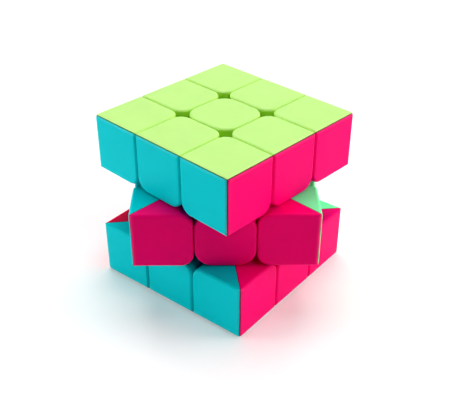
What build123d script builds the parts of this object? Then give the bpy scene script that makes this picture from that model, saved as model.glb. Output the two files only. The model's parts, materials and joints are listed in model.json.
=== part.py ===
from build123d import *
import os

# Twisty puzzle cube with three layers, standing on one face. +Z is up, and the origin is the middle
# of the bottom face. The middle layer is square to X and Y. The layers above and below are turned.
#
# Outside one ball, the pieces are cut by the planes between the layers. Between that ball and a
# smaller one lie the feet, which are cut by planes nearer the middle, so that each foot tucks under
# its neighbours. Inside the smaller ball are the core and the stems of the six centres. Each cut is
# a plane square to an axis or a ball about the middle, so every layer can turn.

# Sizes of the cube, in millimetres
cube_size = 56.0            # from face to face
seam_clearance = 0.08       # from a cut to the piece on each side of it
outer_round = 1.2           # rounding of the cube's own twelve edges
seam_round = 0.9            # rounding where a face meets a cut
corner_round = 3.9          # rounding of a corner piece's edges where two cuts meet
edge_round = 4.1            # the same on an edge piece
centre_round = 5.6          # the same on a centre
shell_wall = 1.3            # wall of the coloured shells
joint_gap = 0.15            # between two shells of one piece

# Angles of the two turned layers, in degrees, anticlockwise seen from above
top_turn = 45.5
bottom_turn = 51.1

# Mechanism under the shells
cover_depth = 6.0           # from a face down to the ball that the feet turn under
foot_thickness = 8.0        # between the two balls
foot_tuck = 2.8             # how far a foot reaches under its neighbours
foot_round = 2.0            # rounding of the edges of a foot
post_height = 4.0           # of a foot's post inside its shells
post_clearance = 0.05       # between a post and the shells bonded to it

# Centres
cap_depth = 3.6             # height of a centre's clip-on cap
cap_plate = 1.6             # thickness of its plate
cap_wall = 1.4              # thickness of its skirt
cap_clearance = 0.1         # between the cap and the base that it clips over
stem_floor = 1.4            # floor of the stem, which the spring presses on
well_radius = 4.2           # bore of the stem above its floor
stem_gap = 0.1              # between a stem and the arm of the core below it

# Core, screws and springs
hub_radius = 7.5
arm_reach = 8.8             # from the middle of the cube to the end of an arm
arm_radius = 4.0
screw_radius = 1.4
screw_tip = 3.4             # from the middle of the cube to the end of a screw
screw_clearance = 0.05      # between a screw and its thread hole in the core
stem_hole_clearance = 0.25  # between a screw and the hole in the stem's floor
head_radius = 2.9
head_height = 2.0
recess_width = 0.9          # of the cross recess in a screw's head
recess_length = 3.6
recess_depth = 1.2
washer_radius = 3.6
washer_height = 0.5
washer_clearance = 0.2      # between a screw and its washer
spring_radius = 2.75        # of the helix that the wire follows
spring_wire = 0.35          # radius of the wire
spring_length = 6.3
spring_turns = 5

# Places that follow from the sizes
half = cube_size / 2
cut = cube_size / 6
shell_ball = half - cover_depth
foot_ball = shell_ball - foot_thickness
foot_cut = cut - foot_tuck
cap_bottom = half - cap_depth
cap_ceiling = half - cap_plate
stem_radius = foot_cut - seam_clearance
stem_bottom = arm_reach + stem_gap
spring_bottom = stem_bottom + stem_floor
washer_bottom = spring_bottom + spring_length
head_bottom = washer_bottom + washer_height
head_top = head_bottom + head_height

side_colours = ("mint", "red", "turquoise", "pink")  # faces +X, +Y, -X and -Y of the middle layer
top_colour = "lime"
bottom_colour = "white"
quarter = 90


def between(x_range, y_range, z_range):
    """The block between six planes."""
    low = Vector(x_range[0], y_range[0], z_range[0])
    high = Vector(x_range[1], y_range[1], z_range[1])
    size = high - low
    return Pos(*((low + high) / 2)) * Box(size.X, size.Y, size.Z)


def edges_on_faces(block, face_place, count):
    """The edges of a block that lie on so many of the three planes at face_place."""
    chosen = []
    for edge in block.edges():
        middle = edge.center()
        places = (middle.X, middle.Y, middle.Z)
        if sum(abs(place - face_place) < seam_clearance / 10 for place in places) == count:
            chosen.append(edge)
    return chosen


def rounded(block, face_place, radius):
    """A block with the edges between its cuts rounded. Its other edges stay sharp."""
    return fillet(edges_on_faces(block, face_place, 0), radius)


def cubie(spans, cut_round):
    """The whole outer form of one small piece, down to the cuts that meet in its inner edge."""
    block = rounded(between(*spans), half, cut_round)
    return fillet(edges_on_faces(block, half, 1), seam_round) & whole_cube


def ball_shell(inner, outer):
    return Sphere(outer) - Sphere(inner)


def in_directions(piece, directions):
    """Copies of a piece that points along +X, one for each named direction."""
    return [rotation * piece for rotation in directions]


# The cube as if it were one block, with its own edges rounded
whole_cube = Box(cube_size, cube_size, cube_size)
whole_cube = fillet(whole_cube.edges(), outer_round)

outside_feet = shell_ball + seam_clearance
foot_layer = ball_shell(foot_ball + seam_clearance, shell_ball - seam_clearance)
post_layer = ball_shell(outside_feet, shell_ball + post_height)

beyond = (cut + seam_clearance, half)                    # a layer on the plus side of a cut
within = (seam_clearance - cut, cut - seam_clearance)    # the middle layer
foot_beyond = (foot_cut + seam_clearance, half)
foot_within = (seam_clearance - foot_cut, foot_cut - seam_clearance)


def inset(span, amount):
    """A span with both ends moved inwards."""
    return (span[0] + amount, span[1] - amount)


def shell_and_foot(spans, foot_spans, cut_round):
    """The hollow coloured shell of one small piece, still whole, and the foot that carries it."""
    block = cubie(spans, cut_round)
    hollow_spans = [inset(span, shell_wall) for span in spans]
    hollow = rounded(between(*hollow_spans), half - shell_wall, cut_round - shell_wall)
    shell = block - Sphere(outside_feet) - hollow

    post_inset = shell_wall + post_clearance
    post_spans = [inset(span, post_inset) for span in spans]
    post = rounded(between(*post_spans), half - post_inset, cut_round - post_inset) & post_layer
    neck = block & Sphere(outside_feet) & between(*foot_spans)
    foot = rounded(between(*foot_spans), half, foot_round) & foot_layer
    return shell, foot + neck + post


def corner_pieces():
    """The corner between +X, +Y and +Z: its shells that face those ways, and its foot."""
    shell, foot = shell_and_foot([beyond] * 3, [foot_beyond] * 3, corner_round)
    x_over_y = Plane((0, 0, 0), z_dir=(1, -1, 0)).offset(joint_gap / 2)
    x_over_z = Plane((0, 0, 0), z_dir=(1, 0, -1)).offset(joint_gap / 2)
    x_shell = split(split(shell, x_over_y, keep=Keep.TOP), x_over_z, keep=Keep.TOP)
    diagonal = Axis((0, 0, 0), (1, 1, 1))
    y_shell = x_shell.rotate(diagonal, 120)
    z_shell = x_shell.rotate(diagonal, 240)
    return x_shell, y_shell, z_shell, foot


def edge_pieces():
    """The edge between +X and +Y: its shells that face those ways, and its foot."""
    spans = [beyond, beyond, within]
    foot_spans = [foot_beyond, foot_beyond, foot_within]
    shell, foot = shell_and_foot(spans, foot_spans, edge_round)
    diagonal = Plane((0, 0, 0), z_dir=(1, -1, 0))
    x_shell = split(shell, diagonal.offset(joint_gap / 2), keep=Keep.TOP)
    y_shell = split(shell, diagonal.offset(-joint_gap / 2), keep=Keep.BOTTOM)
    return x_shell, y_shell, foot


def along_x(radius, start, end):
    """A round bar along +X."""
    return Pos(start, 0, 0) * Rot(0, quarter, 0) * Cylinder(
        radius, end - start, align=(Align.CENTER, Align.CENTER, Align.MIN)
    )


def centre_block(half_width, corner_radius, start, end):
    """A square bar along +X with its four long edges rounded."""
    span = (-half_width, half_width)
    block = between((start, end), span, span)
    return fillet(block.edges().filter_by(Axis.X), corner_radius)


def centre_pieces():
    """The centre that faces +X: its clip-on cap, and its base with the stem."""
    half_width = cut - seam_clearance
    block = centre_block(half_width, centre_round, foot_ball, half)
    block = fillet(edges_on_faces(block, half, 1), seam_round)
    recess = centre_block(half_width - cap_wall, centre_round - cap_wall, 0, cap_ceiling)
    cap = block & between((cap_bottom, half), (-half, half), (-half, half))
    cap = cap - recess

    plug_inset = cap_wall + cap_clearance
    plug_top = cap_ceiling - cap_clearance
    plug = centre_block(half_width - plug_inset, centre_round - plug_inset, cap_bottom, plug_top)
    flange_span = (foot_ball, cap_bottom - cap_clearance)
    flange = block & between(flange_span, (-half, half), (-half, half))
    stem = along_x(stem_radius, stem_bottom, cap_bottom)
    base = (flange - Sphere(outside_feet)) + stem + Pos(-cap_clearance, 0, 0) * plug + plug
    well = along_x(well_radius, spring_bottom, half)
    screw_hole = along_x(screw_radius + stem_hole_clearance, 0, spring_bottom)
    return cap, base - well - screw_hole


def core_piece():
    """The hub with its six arms and their thread holes."""
    arm = along_x(arm_radius, 0, arm_reach)
    hole = along_x(screw_radius + screw_clearance, screw_tip - screw_clearance, half)
    core = Sphere(hub_radius)
    for direction in six_ways:
        core = core + direction * arm
    for direction in six_ways:
        core = core - direction * hole
    return core


def screw_piece():
    """A tension screw along +X with a domed head and a cross recess."""
    shank = along_x(screw_radius, screw_tip, head_bottom)
    head = along_x(head_radius, head_bottom, head_top)
    rim = head.edges().filter_by(GeomType.CIRCLE).sort_by(Axis.X)[-1]
    head = fillet(rim, head_height / 3)
    slot_middle = Pos(head_top - recess_depth / 2, 0, 0)
    slot = slot_middle * Box(recess_depth, recess_length, recess_width)
    cross_slot = slot_middle * Box(recess_depth, recess_width, recess_length)
    return shank + head - slot - cross_slot


def washer_piece():
    outside = along_x(washer_radius, washer_bottom, head_bottom)
    return outside - along_x(screw_radius + washer_clearance, washer_bottom, head_bottom)


def spring_piece():
    """A coil spring along +X between the stem's floor and the washer."""
    rise = spring_length - 2 * spring_wire
    helix = Helix(rise / spring_turns, rise, spring_radius)
    section = Plane(helix @ 0, z_dir=helix % 0) * Circle(spring_wire)
    coil = sweep(section, path=helix, is_frenet=True)
    return Pos(spring_bottom + spring_wire, 0, 0) * Rot(0, quarter, 0) * coil


# The six directions, each as the rotation that takes +X to it
four_sides = [Rot(0, 0, quarter * side) for side in range(4)]
upwards = Rot(0, -quarter, 0)
downwards = Rot(0, quarter, 0)
six_ways = four_sides + [upwards, downwards]

# Each layer's turn, and the half turn about X that takes a top piece to the bottom layer
turn = {"top": Rot(0, 0, top_turn), "middle": Rot(0, 0, 0), "bottom": Rot(0, 0, bottom_turn)}
turned_over = Rot(2 * quarter, 0, 0)

nodes = {}


def corners(layer, face_colour):
    """The four corners of a layer: twelve shells, and the feet as a group."""
    feet = []
    for side in range(4):
        this_side = side_colours[side]
        next_side = side_colours[(side + 1) % 4]
        name = f"{layer}_{this_side}_{next_side}_corner_shell"
        if layer == "top":
            place = turn[layer] * four_sides[side]
            colours = (this_side, next_side, face_colour)
        else:
            place = turn[layer] * four_sides[(side + 1) % 4] * turned_over
            colours = (next_side, this_side, face_colour)
        for colour, shell in zip(colours, corner[:3]):
            nodes[f"{name}_{colour}"] = [place * shell]
        feet.append(place * corner[3])
    nodes[f"{layer}_corner_feet"] = feet


def face_edges(layer, face_colour):
    """The four edges round the top or bottom face: a side shell each, and two groups."""
    side_shell, face_shell, foot = edge
    upright = Rot(quarter, 0, 0)
    face_shells = []
    feet = []
    for side in range(4):
        if layer == "top":
            place = turn[layer] * four_sides[side] * upright
        else:
            place = turn[layer] * four_sides[side] * turned_over * upright
        nodes[f"{layer}_{side_colours[side]}_edge_shell"] = [place * side_shell]
        face_shells.append(place * face_shell)
        feet.append(place * foot)
    nodes[f"{layer}_edge_shells_{face_colour}"] = face_shells
    nodes[f"{layer}_edge_feet"] = feet


def middle_edges():
    """The four upright edges of the middle layer: two shells each, and the feet as a group."""
    this_shell, next_shell, foot = edge
    for side in range(4):
        this_side = side_colours[side]
        next_side = side_colours[(side + 1) % 4]
        name = f"middle_{this_side}_{next_side}_edge_shell"
        nodes[f"{name}_{this_side}"] = [four_sides[side] * this_shell]
        nodes[f"{name}_{next_side}"] = [four_sides[side] * next_shell]
    nodes["middle_edge_feet"] = [place * foot for place in four_sides]


def centres():
    """The six centres: a cap each, and the bases."""
    cap, base = centre_pieces()
    for colour, place in zip(side_colours, four_sides):
        nodes[f"{colour}_centre_cap"] = [place * cap]
    nodes["side_centre_bases"] = in_directions(base, four_sides)
    for layer, colour, way in (("top", top_colour, upwards), ("bottom", bottom_colour, downwards)):
        place = turn[layer] * way
        nodes[f"{colour}_centre_cap"] = [place * cap]
        nodes[f"{layer}_centre_base"] = [place * base]


corner = corner_pieces()
edge = edge_pieces()
corners("top", top_colour)
corners("bottom", bottom_colour)
face_edges("top", top_colour)
face_edges("bottom", bottom_colour)
middle_edges()
centres()
nodes["core"] = [core_piece()]
nodes["tension_screws"] = in_directions(screw_piece(), six_ways)
nodes["washers"] = in_directions(washer_piece(), six_ways)
nodes["tension_springs"] = in_directions(spring_piece(), six_ways)

# Stand the cube on its bottom face and write each node
os.makedirs("parts", exist_ok=True)
lift = Pos(0, 0, half)
for node, pieces in nodes.items():
    lifted = [lift * piece for piece in pieces]
    solids = [solid for piece in lifted for solid in piece.solids()]
    shape = solids[0] if len(solids) == 1 else Compound(children=solids)
    export_step(shape, f"parts/{node}.step")
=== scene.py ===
"""The looks of the twisty puzzle cube: moulded coloured plastic on a white studio floor."""

import json
import math

import bpy
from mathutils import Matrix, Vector


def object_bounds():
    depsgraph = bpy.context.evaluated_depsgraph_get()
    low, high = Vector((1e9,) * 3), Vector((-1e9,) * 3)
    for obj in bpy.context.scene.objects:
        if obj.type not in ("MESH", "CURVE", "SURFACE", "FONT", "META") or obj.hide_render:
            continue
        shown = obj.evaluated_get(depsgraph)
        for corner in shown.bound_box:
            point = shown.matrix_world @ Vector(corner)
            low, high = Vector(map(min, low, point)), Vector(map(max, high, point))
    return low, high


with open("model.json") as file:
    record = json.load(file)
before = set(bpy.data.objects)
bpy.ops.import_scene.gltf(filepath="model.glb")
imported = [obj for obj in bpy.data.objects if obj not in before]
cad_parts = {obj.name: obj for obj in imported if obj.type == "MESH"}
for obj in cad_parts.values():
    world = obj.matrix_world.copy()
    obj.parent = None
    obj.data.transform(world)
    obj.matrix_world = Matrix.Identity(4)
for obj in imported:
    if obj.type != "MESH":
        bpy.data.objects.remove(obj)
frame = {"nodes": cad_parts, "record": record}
cad_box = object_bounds()

MM = 0.001
FLOOR, TOP = cad_box[0][2], cad_box[1][2]
MIDDLE = (FLOOR + TOP) / 2  # the height of the cube's middle
HALF = (TOP - FLOOR) / 2
CUT = HALF / 3  # how far above and below the middle the layers are cut

# How far each layer is turned, in degrees, as in the CAD
TURNS = {"top": 45.5, "middle": 0.0, "bottom": 51.1}

# Colours as linear red, green and blue
COLOURS = {
    "lime": (0.57, 0.93, 0.27),
    "turquoise": (0.0, 0.58, 0.63),
    "pink": (0.98, 0.0, 0.16),
    "mint": (0.20, 1.0, 0.41),
    "red": (0.93, 0.003, 0.05),
    "white": (0.84, 0.84, 0.82),
}
# Painted glow: down in the gaps the lime is painted brighter and greener, for light bounced inside
# the plastic
GAP_GLOW_COLOURS = {"lime": (0.59, 1.0, 0.09)}  # down in the gaps between the pieces
DARK_COLOURS = {"feet": (0.018, 0.018, 0.021), "core": (0.055, 0.055, 0.062)}
STEEL_COLOURS = {"steel": (0.58, 0.58, 0.60), "spring_steel": (0.50, 0.50, 0.51)}
BLACK = (0.0, 0.0, 0.0)
WHITE = (1.0, 1.0, 1.0)
PLASTIC_IOR = 1.46
LIGHT_REACH = 1.2 * MM  # how far light spreads inside a shell

# Marks, painted shade and painted glow on the plastic. Each fades from the first distance to the
# second.
# Painted shade and a shallow groove, along the plane where two shells meet
JOINT_FADE = (0.08 * MM, 0.30 * MM)  # out, away from the plane where two shells meet
RUB_FADE = (0.15 * MM, 0.35 * MM)  # out, away from the plane where two layers rub
EDGE_FADE = (1.6 * MM, 0.3 * MM)  # in, as the corner between two outer faces comes near
# Where the painted glow of bounced light fades in, down in the gaps
GAP_GLOW_FADE = (0.9 * MM, 0.12 * MM)  # out, from down in a gap up to the outer face

# The size of each pattern, and how deep it is where it stands out
CLOUD_SIZE = 9 * MM
HANDLED_SIZE = 5 * MM
RING_SIZE = 0.7 * MM
SCRATCH_SIZES = (0.9 * MM, 1.1 * MM)
SCRATCH_TURNS = ((0.3, 0.5, 0.7), (1.1, 0.2, 2.1))
GRAIN_SIZE, GRAIN_DEPTH = 0.16 * MM, 0.004 * MM
WAVE_SIZE, WAVE_DEPTH = 3.2 * MM, 0.02 * MM
MARK_DEPTH = 0.002 * MM
JOINT_DEPTH = 0.05 * MM
POLISH_SIZE = 1.2 * MM
DRAWN_LINE_SIZE, DRAWN_LINE_DEPTH = 0.12 * MM, 0.003 * MM

# How strongly the marks change the colour, and by how much they change the roughness
CLOUD_SHADE = 0.05
EDGE_PALENESS = 0.02
# Painted shade in the joint between two shells: how dark it is, and how fully it covers
JOINT_SHADE, JOINT_COVER = 0.88, 0.9
HANDLED_SMOOTHER, HANDLED_ROUGHER = 0.05, 0.06
SCRATCH_ROUGHER = 0.08
EDGE_SMOOTHER = 0.08
RUB_SMOOTHER = 0.12
RUB_SHARE = 0.4  # how deep the rings are, as a share of the scratches
POLISH_DARKER, POLISH_LIGHTER = 0.85, 1.1
STEEL_SMOOTHEST, STEEL_ROUGHEST = 0.22, 0.38


# ---------------------------------------------------------------- node helpers

RANGE_SOCKETS = ("From Min", "From Max", "To Min", "To Max")


class Nodes:
    """A material's node tree, with short calls for the nodes that the finishes share."""

    def __init__(self, name):
        self.material = bpy.data.materials.new(name)
        self.material.use_nodes = True
        self.tree = self.material.node_tree
        self.shader = self.tree.nodes["Principled BSDF"]
        self.place = self.add("ShaderNodeTexCoord").outputs["Object"]

    def add(self, kind, **settings):
        node = self.tree.nodes.new(kind)
        for key, value in settings.items():
            setattr(node, key, value)
        return node

    def feed(self, socket, value):
        """Give a socket another node's output, a number, or three numbers as a colour."""
        if isinstance(value, (int, float)):
            socket.default_value = value
        elif isinstance(value, tuple):
            socket.default_value = (*value, 1)
        else:
            self.tree.links.new(value, socket)

    def mapped(self, move=(0, 0, 0), turn=(0, 0, 0), scale=(1, 1, 1), vector=None):
        """Coordinates that are scaled, then turned, then moved."""
        node = self.add("ShaderNodeMapping", vector_type="POINT")
        for name, numbers in zip(("Location", "Rotation", "Scale"), (move, turn, scale)):
            node.inputs[name].default_value = numbers
        self.feed(node.inputs["Vector"], vector or self.place)
        return node.outputs["Vector"]

    def noise(self, size, detail=3.0, roughness=0.5, distortion=0.0, vector=None):
        """Noise whose features are about so large, in metres."""
        node = self.add("ShaderNodeTexNoise")
        node.inputs["Scale"].default_value = 1 / size
        node.inputs["Detail"].default_value = detail
        node.inputs["Roughness"].default_value = roughness
        node.inputs["Distortion"].default_value = distortion
        self.feed(node.inputs["Vector"], vector or self.place)
        return node.outputs["Fac"]

    def remap(self, value, low, high, to_low, to_high):
        """A number carried from the range low to high over to another, and held at its ends."""
        node = self.add("ShaderNodeMapRange", clamp=True)
        self.feed(node.inputs["Value"], value)
        for name, number in zip(RANGE_SOCKETS, (low, high, to_low, to_high)):
            node.inputs[name].default_value = number
        return node.outputs["Result"]

    def math(self, operation, first, second=0.0):
        node = self.add("ShaderNodeMath", operation=operation)
        self.feed(node.inputs[0], first)
        self.feed(node.inputs[1], second)
        return node.outputs["Value"]

    def mix(self, amount, first, second, blend="MIX"):
        """A colour mix. Each colour is a socket or three numbers."""
        node = self.add("ShaderNodeMix", data_type="RGBA", blend_type=blend)
        sockets = {socket.identifier: socket for socket in node.inputs}
        self.feed(sockets["Factor_Float"], amount)
        self.feed(sockets["A_Color"], first)
        self.feed(sockets["B_Color"], second)
        return [s for s in node.outputs if s.identifier == "Result_Color"][0]

    def bump(self, height, depth, normal=None):
        """Bumps so deep, in metres, where height runs from 0 to 1."""
        node = self.add("ShaderNodeBump")
        node.inputs["Distance"].default_value = depth
        self.feed(node.inputs["Height"], height)
        if normal:
            self.feed(node.inputs["Normal"], normal)
        return node.outputs["Normal"]

    def scratches(self, spacing, turn):
        """Fine straight scratches, mostly absent: near 1 on a scratch and 0 elsewhere."""
        lines = self.noise(spacing, detail=1, vector=self.mapped(turn=turn, scale=(0.05, 1, 0.4)))
        return self.remap(lines, 0.70, 0.76, 0, 1)

    def square_axes(self, turn):
        """The distances from the cube's three middle planes, for a layer that is turned so far."""
        squared = self.mapped(move=(0, 0, -MIDDLE), turn=(0, 0, -math.radians(turn)))
        split = self.add("ShaderNodeSeparateXYZ")
        self.feed(split.inputs["Vector"], squared)
        return [self.math("ABSOLUTE", split.outputs[axis]) for axis in "XYZ"]


def scaled(colour, factor):
    """A colour made lighter or darker by a factor, and kept within 1."""
    return tuple(min(1.0, channel * factor) for channel in colour)


# ---------------------------------------------------------------- finishes


def rub_rings(nodes, on_cut):
    """Fine rings about the upright axis, on the planes where the layers rub."""
    radius = nodes.add("ShaderNodeVectorMath", operation="LENGTH")
    nodes.feed(radius.inputs[0], nodes.mapped(scale=(1, 1, 0)))
    ring_place = nodes.add("ShaderNodeCombineXYZ")
    nodes.feed(ring_place.inputs["X"], radius.outputs["Value"])
    rings = nodes.noise(RING_SIZE, detail=2, vector=ring_place.outputs["Vector"])
    return nodes.math("MULTIPLY", nodes.remap(rings, 0.45, 0.65, 0, 1), on_cut)


def moulded(nodes, colour, gap_glow_colour, turn, specular, roughness):
    """Satin moulded plastic of a layer that is turned so far, in degrees.

    It has a faint cloudiness, a fine eroded grain, handled patches, hairline scratches, a joint
    groove where two shells meet with painted shade in it, a painted glow of bounced light down in
    the gaps, edges rubbed smoother, and rings where the layers rub.
    """
    shader = nodes.shader
    across, along, height = nodes.square_axes(turn)
    wider = nodes.math("MAXIMUM", across, along)
    narrower = nodes.math("MINIMUM", across, along)
    farthest = nodes.math("MAXIMUM", wider, height)
    middling = nodes.math("MAXIMUM", narrower, nodes.math("MINIMUM", wider, height))
    from_cut = nodes.math("ABSOLUTE", nodes.math("SUBTRACT", height, CUT))

    joint_groove_and_shade = nodes.remap(nodes.math("SUBTRACT", farthest, middling), *JOINT_FADE, 1, 0)
    outer_edge = nodes.remap(middling, HALF - EDGE_FADE[0], HALF - EDGE_FADE[1], 0, 1)
    gap_glow = nodes.remap(farthest, HALF - GAP_GLOW_FADE[0], HALF - GAP_GLOW_FADE[1], 1, 0)
    rubbed = rub_rings(nodes, nodes.remap(from_cut, *RUB_FADE, 1, 0))
    hairs = nodes.math("MAXIMUM", *(nodes.scratches(size, turns)
                                    for size, turns in zip(SCRATCH_SIZES, SCRATCH_TURNS)))

    clouds = nodes.noise(CLOUD_SIZE, detail=2, roughness=0.6)
    # Painted glow: brighter, greener colour down in the gaps, for light bounced between the pieces
    base = nodes.mix(gap_glow, colour, gap_glow_colour)
    base = nodes.mix(nodes.remap(clouds, 0.3, 0.7, CLOUD_SHADE, 0), base, BLACK)
    base = nodes.mix(nodes.math("MULTIPLY", outer_edge, EDGE_PALENESS), base, WHITE)
    # Painted shade: the joint where two shells meet is painted dark, for the shade in its fine gap
    shaded = nodes.mix(JOINT_SHADE, gap_glow_colour, BLACK)
    base = nodes.mix(nodes.math("MULTIPLY", joint_groove_and_shade, JOINT_COVER), base, shaded)
    nodes.feed(shader.inputs["Base Color"], base)

    handled = nodes.noise(HANDLED_SIZE, detail=4, roughness=0.65, distortion=0.6)
    rough = nodes.remap(handled, 0.35, 0.7,
                        roughness - HANDLED_SMOOTHER, roughness + HANDLED_ROUGHER)
    rough = nodes.math("ADD", rough, nodes.math("MULTIPLY", hairs, SCRATCH_ROUGHER))
    rough = nodes.math("SUBTRACT", rough, nodes.math("MULTIPLY", outer_edge, EDGE_SMOOTHER))
    rough = nodes.math("SUBTRACT", rough, nodes.math("MULTIPLY", rubbed, RUB_SMOOTHER))
    nodes.feed(shader.inputs["Roughness"], rough)

    normal = nodes.bump(nodes.noise(GRAIN_SIZE, detail=2), GRAIN_DEPTH)
    normal = nodes.bump(nodes.noise(WAVE_SIZE, detail=1), WAVE_DEPTH, normal)
    marks = nodes.math("MAXIMUM", hairs, nodes.math("MULTIPLY", rubbed, RUB_SHARE))
    normal = nodes.bump(nodes.math("SUBTRACT", 1.0, marks), MARK_DEPTH, normal)
    # The joint's groove, as a bump
    normal = nodes.bump(nodes.math("SUBTRACT", 1.0, joint_groove_and_shade), JOINT_DEPTH, normal)
    nodes.feed(shader.inputs["Normal"], normal)
    shader.inputs["Specular IOR Level"].default_value = specular
    shader.inputs["IOR"].default_value = PLASTIC_IOR
    return nodes.material


def shell_plastic(name, layer):
    """A coloured shell or cap, which lets a little light into itself."""
    nodes = Nodes(f"{name}_{layer}")
    nodes.shader.inputs["Subsurface Weight"].default_value = 0.1
    nodes.shader.inputs["Subsurface Scale"].default_value = LIGHT_REACH
    nodes.shader.inputs["Subsurface Radius"].default_value = COLOURS[name]
    # The colour painted down in the gaps as a glow of bounced light; colours without one paint
    # none
    gap_glow = GAP_GLOW_COLOURS.get(name, COLOURS[name])
    return moulded(nodes, COLOURS[name], gap_glow, TURNS[layer], specular=0.03, roughness=0.40)


def dark_plastic(name, colour, layer):
    """The feet and the core, hidden behind the shells."""
    nodes = Nodes(f"{name}_{layer}")
    return moulded(nodes, colour, colour, TURNS[layer], specular=0.3, roughness=0.45)


def base_plastic():
    """The side bases, each in the colour of the side that it faces."""
    nodes = Nodes("side_bases")
    split = nodes.add("ShaderNodeSeparateXYZ")
    nodes.feed(split.inputs["Vector"], nodes.place)
    x, y = split.outputs["X"], split.outputs["Y"]
    along_x = nodes.mix(nodes.math("GREATER_THAN", x), COLOURS["turquoise"], COLOURS["mint"])
    along_y = nodes.mix(nodes.math("GREATER_THAN", y), COLOURS["pink"], COLOURS["red"])
    faces_x = nodes.math("GREATER_THAN", nodes.math("ABSOLUTE", x), nodes.math("ABSOLUTE", y))
    colour = nodes.mix(faces_x, along_y, along_x)
    return moulded(nodes, colour, colour, TURNS["middle"], specular=0.1, roughness=0.40)


def steel(name, colour):
    """Plated steel with fine drawn lines and a little uneven polish."""
    nodes = Nodes(name)
    shader = nodes.shader
    shader.inputs["Metallic"].default_value = 1.0
    polish = nodes.noise(POLISH_SIZE, detail=3)
    base = nodes.mix(polish, scaled(colour, POLISH_DARKER), scaled(colour, POLISH_LIGHTER))
    nodes.feed(shader.inputs["Base Color"], base)
    lines = nodes.noise(DRAWN_LINE_SIZE, detail=2, vector=nodes.mapped(scale=(1, 1, 0.1)))
    rough = nodes.remap(lines, 0.3, 0.7, STEEL_SMOOTHEST, STEEL_ROUGHEST)
    nodes.feed(shader.inputs["Roughness"], rough)
    nodes.feed(shader.inputs["Normal"], nodes.bump(lines, DRAWN_LINE_DEPTH))
    return nodes.material


def layer_of(body):
    """The layer that a body belongs to. The caps ride on the centres of their layers."""
    return {
        "top_layer": "top",
        "lime_cap": "top",
        "bottom_layer": "bottom",
        "white_cap": "bottom",
    }.get(body, "middle")


def finish_for(slot, layer):
    if slot in COLOURS:
        return shell_plastic(slot, layer)
    if slot in DARK_COLOURS:
        return dark_plastic(slot, DARK_COLOURS[slot], layer)
    return steel(slot, STEEL_COLOURS[slot])


record = frame["record"]
slots = {part["node"]: part["material_slot"] for part in record["subparts"]}
finishes = {}
for body, nodes in record["behaviour"]["bodies"].items():
    layer = layer_of(body)
    for node in nodes:
        key = (slots[node], layer)
        if node == "side_centre_bases":
            key = (node, layer)
            finishes.setdefault(key, base_plastic())
        elif key not in finishes:
            finishes[key] = finish_for(*key)
        materials = frame["nodes"][node].data.materials
        materials.clear()
        materials.append(finishes[key])


# ---------------------------------------------------------------- studio

FLOOR_SIZE = 3.0  # metres, as are the lamps' places and sizes
FLOOR_GAP = 0.02 * MM  # between the floor and the cube's bottom
FLOOR_COLOUR = (0.93, 0.93, 0.93)
TOUCHING = 0.1 * MM  # how far a ray runs between the floor and the bottom that stands on it
FADE_START, FADE_END = 0.15, 0.6  # how far out the floor turns into the white backdrop
HORIZON = (-0.2, -0.1)  # the heights of a direction between which the light changes
SENSOR_WIDTH = 36  # millimetres, as is the camera's lens
NEAREST_SEEN = 10 * MM


def seen_directly(tree):
    """1 for rays from the camera and for mirrored or transmitted rays, and 0 for other light."""
    path = tree.nodes.new("ShaderNodeLightPath")
    total = path.outputs["Is Camera Ray"]
    for kind in ("Is Glossy Ray", "Is Transmission Ray"):
        either = tree.nodes.new("ShaderNodeMath")
        either.operation = "MAXIMUM"
        tree.links.new(total, either.inputs[0])
        tree.links.new(path.outputs[kind], either.inputs[1])
        total = either.outputs["Value"]
    return total


def white_floor(lift):
    """A white floor that keeps the shadow, and that fades to the white backdrop further away.

    What it shows is lifted a little above the light that it gives to the object. Nothing of it is
    seen from below, and the bottom that stands on it gets its light through it, so that a view
    from there shows the whole object.
    """
    bpy.ops.mesh.primitive_plane_add(size=FLOOR_SIZE, location=(0, 0, FLOOR - FLOOR_GAP))
    floor = bpy.context.object
    floor.name = "studio_floor"
    nodes = Nodes("studio_floor")
    shader = nodes.shader
    nodes.feed(shader.inputs["Base Color"], FLOOR_COLOUR)
    shader.inputs["Roughness"].default_value = 0.6
    shader.inputs["Specular IOR Level"].default_value = 0.1
    nodes.feed(shader.inputs["Emission Color"], WHITE)
    distance = nodes.add("ShaderNodeVectorMath", operation="LENGTH")
    nodes.feed(distance.inputs[0], nodes.place)
    shown = nodes.remap(distance.outputs["Value"], FADE_START, FADE_END, lift, 1)
    shown = nodes.math("MULTIPLY", shown, seen_directly(nodes.tree))
    nodes.feed(shader.inputs["Emission Strength"], shown)

    path = nodes.add("ShaderNodeLightPath").outputs
    light_ray = nodes.math("MAXIMUM", path["Is Diffuse Ray"], path["Is Shadow Ray"])
    touching = nodes.math("LESS_THAN", path["Ray Length"], TOUCHING)
    below = nodes.add("ShaderNodeNewGeometry").outputs["Backfacing"]
    open_floor = nodes.math("MAXIMUM", below, nodes.math("MULTIPLY", light_ray, touching))
    choose = nodes.add("ShaderNodeMixShader")
    nodes.feed(choose.inputs["Fac"], open_floor)
    nodes.feed(choose.inputs[1], shader.outputs["BSDF"])
    nodes.feed(choose.inputs[2], nodes.add("ShaderNodeBsdfTransparent").outputs["BSDF"])
    nodes.feed(nodes.tree.nodes["Material Output"].inputs["Surface"], choose.outputs["Shader"])
    floor.data.materials.append(nodes.material)


def lamp(name, place, target, size, power):
    """A soft square lamp that points at the target."""
    data = bpy.data.lights.new(name, "AREA")
    data.shape = "SQUARE"
    data.size = size
    data.energy = power
    light = bpy.data.objects.new(name, data)
    bpy.context.scene.collection.objects.link(light)
    light.location = place
    light.rotation_euler = (Vector(target) - Vector(place)).to_track_quat("-Z", "Y").to_euler()


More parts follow.
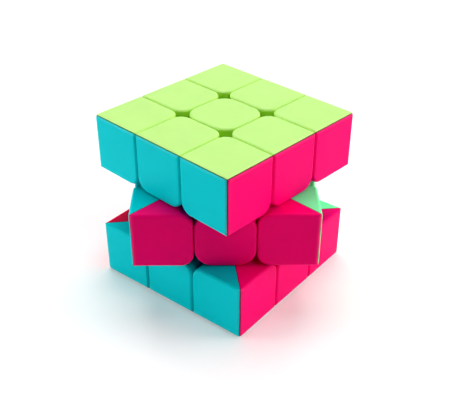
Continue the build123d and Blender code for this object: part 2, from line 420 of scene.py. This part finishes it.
def white_world(fill, from_below):
    """Even white light, stronger under the floor. The camera and reflections see plain white."""
    world = bpy.data.worlds.new("studio")
    bpy.context.scene.world = world
    world.use_nodes = True
    tree = world.node_tree
    direction = tree.nodes.new("ShaderNodeSeparateXYZ")
    tree.links.new(tree.nodes.new("ShaderNodeTexCoord").outputs["Generated"],
                   direction.inputs["Vector"])
    strength = tree.nodes.new("ShaderNodeMapRange")
    for name, number in zip(RANGE_SOCKETS, (*HORIZON, from_below, fill)):
        strength.inputs[name].default_value = number
    tree.links.new(direction.outputs["Z"], strength.inputs["Value"])
    light = tree.nodes["Background"]
    light.inputs["Color"].default_value = (*WHITE, 1)
    tree.links.new(strength.outputs["Result"], light.inputs["Strength"])
    seen = tree.nodes.new("ShaderNodeBackground")
    seen.inputs["Strength"].default_value = 1.0
    seen.inputs["Color"].default_value = (*WHITE, 1)
    choose = tree.nodes.new("ShaderNodeMixShader")
    tree.links.new(seen_directly(tree), choose.inputs["Fac"])
    tree.links.new(light.outputs["Background"], choose.inputs[1])
    tree.links.new(seen.outputs["Background"], choose.inputs[2])
    tree.links.new(choose.outputs["Shader"], tree.nodes["World Output"].inputs["Surface"])


def camera(azimuth, elevation, distance, target, lens):
    """A camera that looks at the target. Azimuth 0 looks along +Y. Angles are in degrees."""
    data = bpy.data.cameras.new("camera")
    data.lens = lens
    data.sensor_width = SENSOR_WIDTH
    data.clip_start = NEAREST_SEEN
    view = bpy.data.objects.new("camera", data)
    bpy.context.scene.collection.objects.link(view)
    a, e = math.radians(azimuth), math.radians(elevation)
    back = Vector((math.sin(a) * math.cos(e), -math.cos(a) * math.cos(e), math.sin(e)))
    view.location = Vector(target) + distance * back
    view.rotation_euler = (-back).to_track_quat("-Z", "Y").to_euler()
    bpy.context.scene.camera = view


white_floor(lift=0.15)
white_world(fill=0.05, from_below=0.8)
cube_middle = (0, 0, MIDDLE)
lamp("above", (0, 0.22, 0.78), cube_middle, size=0.6, power=5.15)
lamp("left", (-0.58, 0, 0.05), cube_middle, size=0.3, power=3.4)
lamp("right", (0.58, 0, 0.13), cube_middle, size=0.4, power=3.1)
lamp("front", (0.28, -0.34, 0.68), cube_middle, size=0.3, power=1.0)
camera(azimuth=-0.49, elevation=33.11, distance=253.8 * MM,
       target=(0.07 * MM, 0, 21.61 * MM), lens=61.9)

bpy.context.scene.view_settings.view_transform = "Standard"
